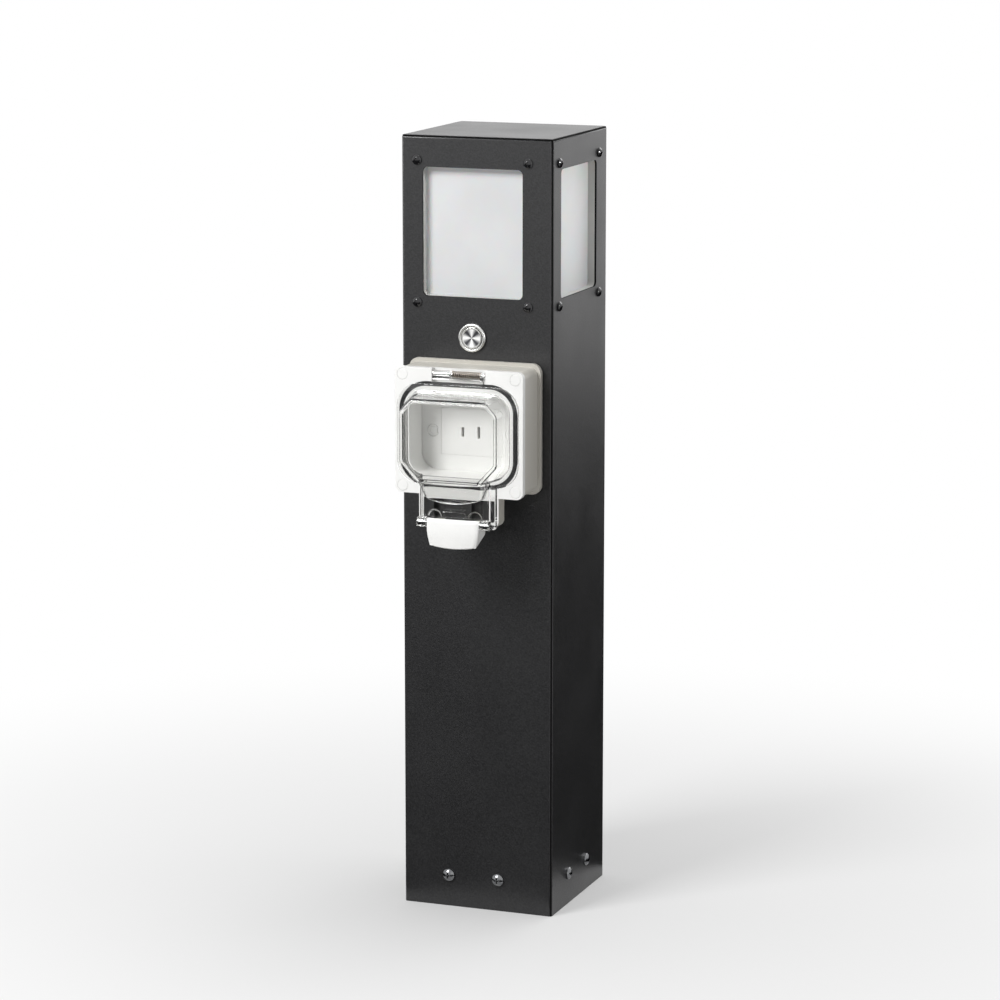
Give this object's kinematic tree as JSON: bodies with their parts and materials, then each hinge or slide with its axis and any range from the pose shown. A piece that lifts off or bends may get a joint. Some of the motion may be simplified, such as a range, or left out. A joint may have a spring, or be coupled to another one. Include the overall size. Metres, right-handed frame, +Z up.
{
  "type": "garden socket post",
  "caption": "Square outdoor power post with an opal lantern head, a push button and a socket box under a clear hinged cover, for bolting to the ground.",
  "frame": {"origin": "centre of the foot on the ground, middle of the square column", "axes": "+Z up the column, X to the right, front face with button and socket box towards -Y"},
  "size_m": [0.1268, 0.1844, 0.59],
  "materials": {
    "painted_steel": "fine-textured satin powder coat, anthracite",
    "sealant": "matt black sealant",
    "zinc_steel": "zinc-plated steel",
    "stainless": "turned stainless steel",
    "button_metal": "stainless steel with a spun face",
    "black_screw": "black-coated steel",
    "black_rubber": "matt black rubber",
    "black_plastic": "moulded black plastic",
    "white_plastic": "moulded white plastic, half gloss",
    "grey_plastic": "moulded light grey plastic",
    "opal": "opal acrylic, satin",
    "clear_plastic": "clear polycarbonate",
    "aluminium": "extruded aluminium",
    "board": "white solder resist",
    "lamp_chip": "yellow phosphor",
    "brass": "bare brass",
    "lead_insulation": "soft insulation"
  },
  "bodies": {
    "root": {"column_shell": "painted_steel", "seam_angle": "painted_steel", "joint_sealant": "sealant", "cap_plate": "painted_steel", "base_plate": "zinc_steel", "base_rivnuts": "zinc_steel", "base_screws": "stainless", "cable_grommet": "black_rubber", "terminal_block": "white_plastic", "terminal_screws": "stainless", "earth_stud": "brass", "window_spacer_front": "grey_plastic", "window_spacer_right": "grey_plastic", "window_spacer_rear": "grey_plastic", "window_spacer_left": "grey_plastic", "diffuser_front": "opal", "diffuser_right": "opal", "diffuser_rear": "opal", "diffuser_left": "opal", "window_screws": "black_screw", "window_nuts": "stainless", "lamp_shelf": "zinc_steel", "led_heat_sink": "aluminium", "led_boards": "board", "led_chips": "lamp_chip", "lamp_screws": "stainless", "led_driver": "white_plastic", "driver_screws": "stainless", "button_bezel": "button_metal", "button_seal": "black_rubber", "button_nut": "stainless", "button_switch": "black_plastic", "button_terminals": "brass", "button_spring": "stainless", "box_gasket": "black_rubber", "box_back": "grey_plastic", "box_screws": "stainless", "box_nuts": "stainless", "box_frame": "white_plastic", "frame_screws": "stainless", "screw_caps": "white_plastic", "frame_seal": "black_rubber", "cable_seal": "black_rubber", "socket_plate": "white_plastic", "socket_insert": "white_plastic", "socket_housing": "grey_plastic", "socket_contacts": "brass", "socket_terminals": "brass", "plate_screws": "stainless", "plate_caps": "white_plastic", "hinge_pin": "stainless", "hinge_spring": "stainless", "power_leads": "lead_insulation", "lamp_leads": "lead_insulation", "button_leads": "lead_insulation"},
    "button": {"button_plunger": "button_metal"},
    "cover": {"cover": "clear_plastic", "latch_pin": "stainless"},
    "latch": {"latch": "white_plastic"}
  },
  "joints": [
    {"name": "button_press", "type": "slide", "parent": "root", "child": "button", "axis": [0, 1, 0], "range_m": [0, 0.002], "stiffness_N_per_m": 1200, "springref_m": -0.001},
    {"name": "cover_hinge", "type": "hinge", "parent": "root", "child": "cover", "pos_m": [0, -0.096, 0.4183], "axis": [-1, 0, 0], "range_deg": [0, 110], "stiffness_Nm_per_rad": 0.03, "springref_deg": -45.84},
    {"name": "latch_hinge", "type": "hinge", "parent": "cover", "child": "latch", "pos_m": [0, -0.1086, 0.309], "axis": [-1, 0, 0], "range_deg": [0, 40]}
  ]
}
